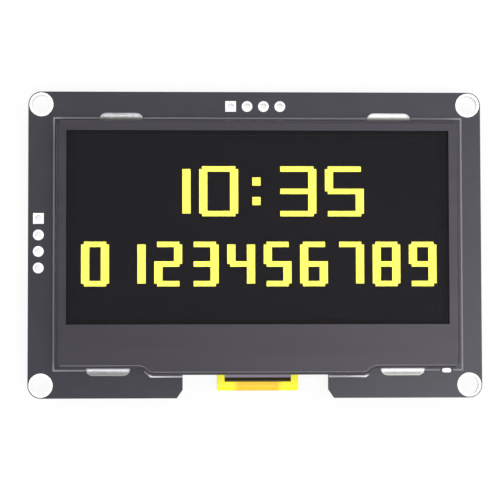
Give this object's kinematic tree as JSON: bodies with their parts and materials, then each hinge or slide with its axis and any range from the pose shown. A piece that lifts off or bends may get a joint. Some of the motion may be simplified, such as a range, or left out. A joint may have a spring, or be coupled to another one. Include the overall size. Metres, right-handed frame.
{
  "type": "small oled module",
  "caption": "Small graphic OLED display in a folded black steel bezel on a black circuit board with corner holes, two pin headers and a folded amber flex tail.",
  "frame": {"origin": "under the centre of the board's outline, level with the lowest faces of the tallest parts on its back", "axes": "+Z out of the display's face, +X along the long side so that the side header is at -X, +Y towards the top header; the flex tail is at -Y"},
  "size_m": [0.07, 0.0472, 0.0066],
  "materials": {
    "circuit_board": "glossy black solder mask",
    "mounting_rings": "bright tinned copper",
    "top_header_pads": "bright tinned copper",
    "side_header_pads": "bright tinned copper",
    "slot_rims": "bright tinned copper",
    "bezel": "semi-gloss black coating on sheet steel",
    "tab_solder": "solder",
    "polariser": "smooth dark film",
    "front_glass": "clear glass",
    "lit_dots": "yellow light",
    "pixel_layer": "dark layer",
    "edge_seal": "cured seal",
    "desiccant": "dry sheet",
    "rear_glass": "etched cover glass",
    "foam_pad": "black foam",
    "driver_chip": "bare silicon",
    "bond_strip": "bonding film",
    "flex_tail": "amber polyimide",
    "flex_mask": "black mask",
    "flex_copper": "copper under amber film",
    "flex_fingers": "bright tinned copper",
    "flex_pads": "bright tinned copper",
    "inductor_core": "grey ferrite",
    "inductor_winding": "enamelled copper wire",
    "inductor_terminals": "bright tinned copper",
    "boost_chip": "moulded epoxy",
    "boost_chip_leads": "bright tinned copper",
    "regulator": "moulded epoxy",
    "regulator_leads": "bright tinned copper",
    "diode": "moulded epoxy",
    "diode_leads": "bright tinned copper",
    "bulk_capacitors": "moulded ochre epoxy",
    "bulk_leads": "bright tinned copper",
    "small_capacitors": "ceramic",
    "small_capacitor_ends": "bright tinned copper",
    "large_capacitors": "ceramic",
    "large_capacitor_ends": "bright tinned copper",
    "resistors": "alumina",
    "resistor_ends": "bright tinned copper",
    "resistor_coats": "glazed film",
    "part_solder": "solder",
    "board_print": "white print",
    "test_pad": "bright tinned copper"
  },
  "bodies": {
    "root": {"circuit_board": "circuit_board", "mounting_rings": "mounting_rings", "top_header_pads": "top_header_pads", "side_header_pads": "side_header_pads", "slot_rims": "slot_rims", "bezel": "bezel", "tab_solder": "tab_solder", "polariser": "polariser", "front_glass": "front_glass", "lit_dots": "lit_dots", "pixel_layer": "pixel_layer", "edge_seal": "edge_seal", "desiccant": "desiccant", "rear_glass": "rear_glass", "foam_pad": "foam_pad", "driver_chip": "driver_chip", "bond_strip": "bond_strip", "flex_tail": "flex_tail", "flex_mask": "flex_mask", "flex_copper": "flex_copper", "flex_fingers": "flex_fingers", "flex_pads": "flex_pads", "inductor_core": "inductor_core", "inductor_winding": "inductor_winding", "inductor_terminals": "inductor_terminals", "boost_chip": "boost_chip", "boost_chip_leads": "boost_chip_leads", "regulator": "regulator", "regulator_leads": "regulator_leads", "diode": "diode", "diode_leads": "diode_leads", "bulk_capacitors": "bulk_capacitors", "bulk_leads": "bulk_leads", "small_capacitors": "small_capacitors", "small_capacitor_ends": "small_capacitor_ends", "large_capacitors": "large_capacitors", "large_capacitor_ends": "large_capacitor_ends", "resistors": "resistors", "resistor_ends": "resistor_ends", "resistor_coats": "resistor_coats", "part_solder": "part_solder", "board_print": "board_print", "test_pad": "test_pad"}
  },
  "joints": []
}
